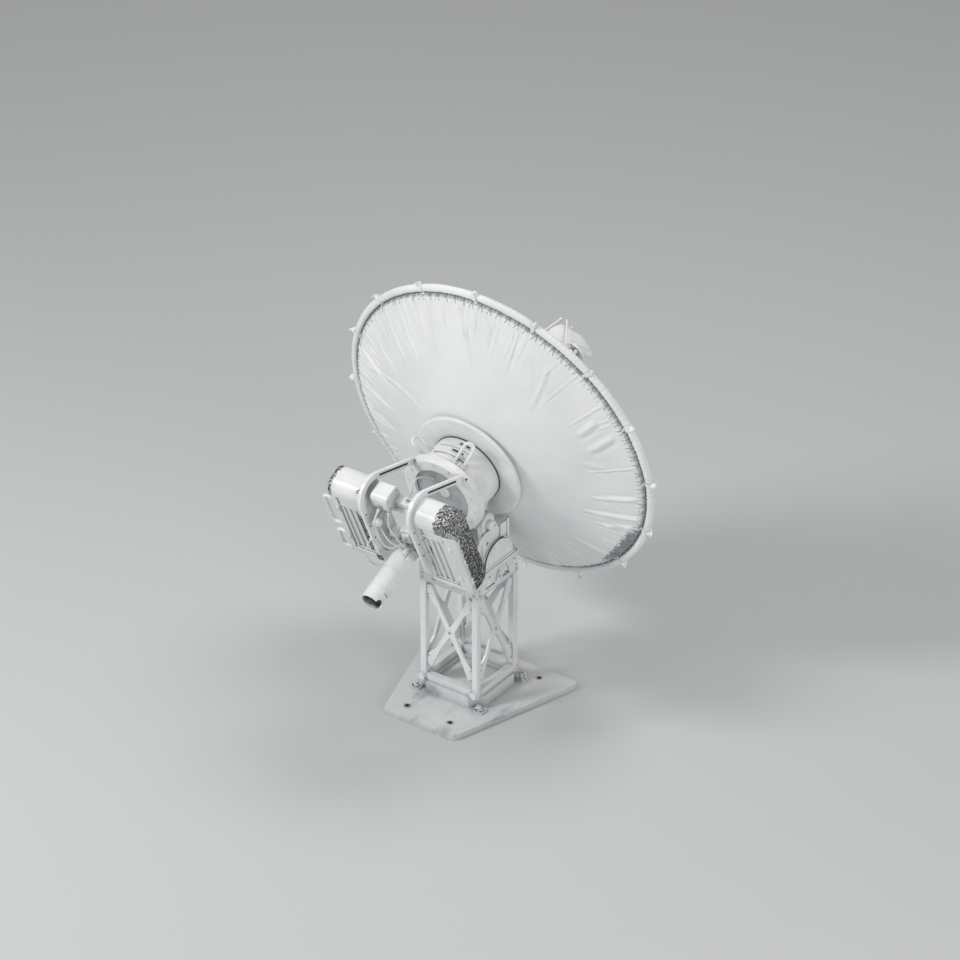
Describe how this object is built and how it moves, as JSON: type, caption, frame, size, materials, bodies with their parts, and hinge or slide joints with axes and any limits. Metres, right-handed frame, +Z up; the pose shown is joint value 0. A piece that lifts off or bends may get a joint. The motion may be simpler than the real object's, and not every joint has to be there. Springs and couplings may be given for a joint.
{
  "type": "steerable parabolic dish antenna",
  "caption": "White parabolic dish with a soft back cover on an azimuth and elevation mount, carried by a braced lattice mast on a trapezoid base plate.",
  "frame": {"origin": "on the azimuth axis, at the underside of the base plate", "axes": "+Z up along the azimuth axis, -Y the way the dish looks at rest, +X to the side, along the elevation axis"},
  "size_m": [1.9612, 1.9408, 2.409],
  "materials": {
    "mast_enamel": "satin white enamel on welded aluminium tube",
    "bearing_steel": "turned and hobbed steel",
    "motor_case": "dark grey powder coat",
    "head_enamel": "satin white enamel on aluminium",
    "grey_anodised": "grey anodised aluminium",
    "reflector_enamel": "smooth satin white enamel on spun aluminium",
    "blanket_cloth": "coated white glass cloth",
    "rim_cloth": "white coated hem over a foam core",
    "feed_metal": "machined aluminium",
    "fin_panel": "black anodised crinkled radiator panel",
    "cable_jacket": "light grey cable jacket"
  },
  "bodies": {
    "mast": {"base_plate": "mast_enamel", "plinth": "mast_enamel", "plinth_bolts": "mast_enamel", "bottom_rails": "mast_enamel", "post_front_left": "mast_enamel", "post_front_right": "mast_enamel", "post_rear_left": "mast_enamel", "post_rear_right": "mast_enamel", "brace_front": "mast_enamel", "brace_rear": "mast_enamel", "brace_left": "mast_enamel", "brace_right": "mast_enamel", "header_frame": "mast_enamel", "mast_deck": "mast_enamel", "azimuth_bearing": "bearing_steel", "azimuth_motor": "motor_case"},
    "azimuth_pinion": {"azimuth_pinion": "bearing_steel"},
    "yoke": {"azimuth_spindle": "bearing_steel", "azimuth_gear": "bearing_steel", "turntable": "head_enamel", "drive_housing": "head_enamel", "housing_end_covers": "head_enamel", "yoke_arm_left": "head_enamel", "yoke_arm_right": "head_enamel", "elevation_bearings": "bearing_steel", "elevation_motor": "motor_case", "arm_conduit": "head_enamel", "arm_guard": "head_enamel"},
    "elevation_pinion": {"elevation_pinion": "bearing_steel"},
    "head": {"trunnion_left": "head_enamel", "trunnion_right": "head_enamel", "elevation_gear": "bearing_steel", "hub_drum": "head_enamel", "hub_flange": "head_enamel", "rear_ring": "head_enamel", "rear_disc": "grey_anodised", "drum_handle_left": "head_enamel", "drum_handle_right": "head_enamel", "reflector": "reflector_enamel", "back_ribs": "grey_anodised", "back_skin": "blanket_cloth", "rim_tube": "rim_cloth", "rim_clips": "head_enamel", "feed_struts": "head_enamel", "feed_ring": "head_enamel", "feed_horn": "feed_metal", "feed_hood": "rim_cloth", "box_left_case": "head_enamel", "box_right_case": "head_enamel", "box_covers": "head_enamel", "box_side_panels": "fin_panel", "side_frame_left": "head_enamel", "side_frame_right": "head_enamel", "box_handles": "head_enamel", "cross_tubes": "head_enamel", "tracking_unit": "head_enamel", "tail_tube": "head_enamel", "tail_insert": "motor_case", "cable_harness": "cable_jacket", "electronics_trays": "grey_anodised"}
  },
  "joints": [
    {"name": "azimuth_turn", "type": "hinge", "parent": "mast", "child": "yoke", "pos_m": [0, 0, 0.856], "axis": [0, 0, 1], "range_deg": [-170, 170]},
    {"name": "azimuth_pinion_spin", "type": "hinge", "parent": "mast", "child": "azimuth_pinion", "pos_m": [0, -0.108, 0.761], "axis": [0, 0, 1], "range_deg": [-600, 600]},
    {"name": "elevation_tilt", "type": "hinge", "parent": "yoke", "child": "head", "pos_m": [0, 0.06, 1.12], "axis": [-1, 0, 0], "range_deg": [-2, 38]},
    {"name": "elevation_pinion_spin", "type": "hinge", "parent": "yoke", "child": "elevation_pinion", "pos_m": [0.177, 0.06, 1], "axis": [-1, 0, 0], "range_deg": [-160, 16]}
  ],
  "couplings": [
    {"joint": "azimuth_pinion_spin", "follows": "azimuth_turn", "ratio": -3.5},
    {"joint": "elevation_pinion_spin", "follows": "elevation_tilt", "ratio": -4}
  ]
}
